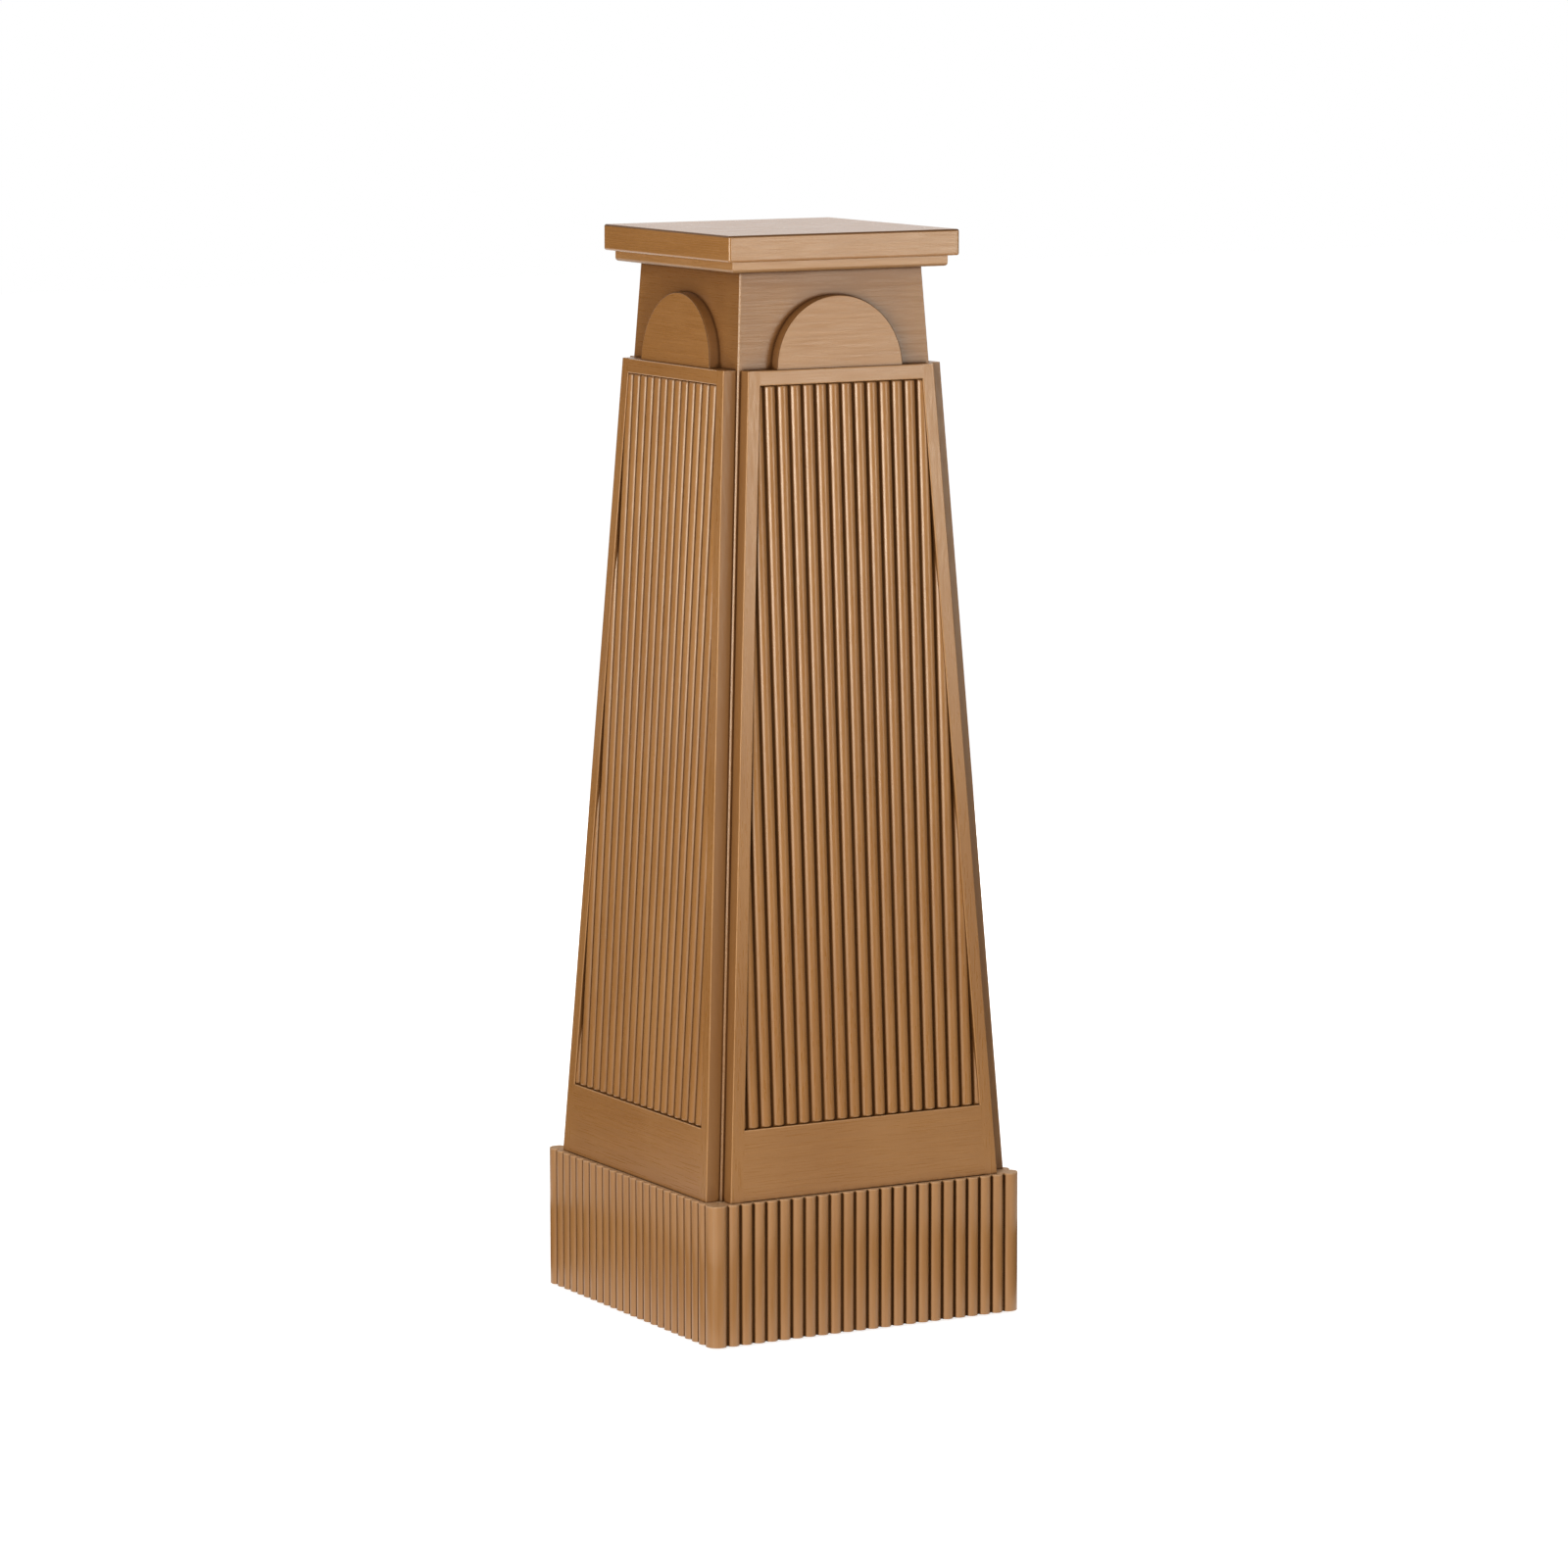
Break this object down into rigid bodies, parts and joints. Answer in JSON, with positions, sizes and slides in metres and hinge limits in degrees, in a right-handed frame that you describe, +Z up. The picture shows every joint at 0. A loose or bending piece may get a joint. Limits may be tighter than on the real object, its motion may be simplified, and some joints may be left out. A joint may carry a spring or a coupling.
{
  "type": "pedestal column stand",
  "caption": "Square tapered column pedestal with a stepped top, half-round arch plates, framed reeded panels and a reeded plinth.",
  "frame": {"origin": "on the floor under the column's axis, at the centre of the plinth", "axes": "+Z up, -Y out of the front face, +X to the right as seen from the front; the four faces are alike"},
  "size_m": [0.348, 0.348, 1.067],
  "materials": {
    "top_wood": "satin lacquer, horizontal grain, dark glaze at the edges",
    "shaft_wood": "satin lacquer, horizontal grain",
    "arch_wood": "satin lacquer, horizontal grain, dark glaze round the edge",
    "frame_wood": "satin lacquer, rubbed lighter on the edges",
    "panel_wood": "satin lacquer, dark glaze in the grooves",
    "plinth_wood": "satin lacquer, dark glaze in the grooves",
    "inner_wood": "bare, unfinished",
    "glide_plastic": "moulded dark brown",
    "screw_steel": "zinc plated"
  },
  "bodies": {
    "root": {"arch_plate_back": "arch_wood", "arch_plate_front": "arch_wood", "arch_plate_left": "arch_wood", "arch_plate_right": "arch_wood", "base_screws": "screw_steel", "bottom_rail_back": "frame_wood", "bottom_rail_front": "frame_wood", "bottom_rail_left": "frame_wood", "bottom_rail_right": "frame_wood", "cap_plate": "top_wood", "deck_tenons": "inner_wood", "glides": "glide_plastic", "plinth_base": "inner_wood", "plinth_block_back_left": "inner_wood", "plinth_block_back_right": "inner_wood", "plinth_block_front_left": "inner_wood", "plinth_block_front_right": "inner_wood", "plinth_board_back": "plinth_wood", "plinth_board_front": "plinth_wood", "plinth_board_left": "plinth_wood", "plinth_board_right": "plinth_wood", "plinth_deck": "inner_wood", "reeded_panel_back": "panel_wood", "reeded_panel_front": "panel_wood", "reeded_panel_left": "panel_wood", "reeded_panel_right": "panel_wood", "shaft_board_back": "shaft_wood", "shaft_board_front": "shaft_wood", "shaft_board_left": "shaft_wood", "shaft_board_right": "shaft_wood", "shaft_cleat_back_left": "inner_wood", "shaft_cleat_back_right": "inner_wood", "shaft_cleat_front_left": "inner_wood", "shaft_cleat_front_right": "inner_wood", "shaft_foot_plate": "inner_wood", "shaft_head_plate": "inner_wood", "stile_left_back": "frame_wood", "stile_left_front": "frame_wood", "stile_left_left": "frame_wood", "stile_left_right": "frame_wood", "stile_right_back": "frame_wood", "stile_right_front": "frame_wood", "stile_right_left": "frame_wood", "stile_right_right": "frame_wood", "top_board": "top_wood", "top_rail_back": "frame_wood", "top_rail_front": "frame_wood", "top_rail_left": "frame_wood", "top_rail_right": "frame_wood", "top_tenons": "inner_wood"}
  },
  "joints": []
}
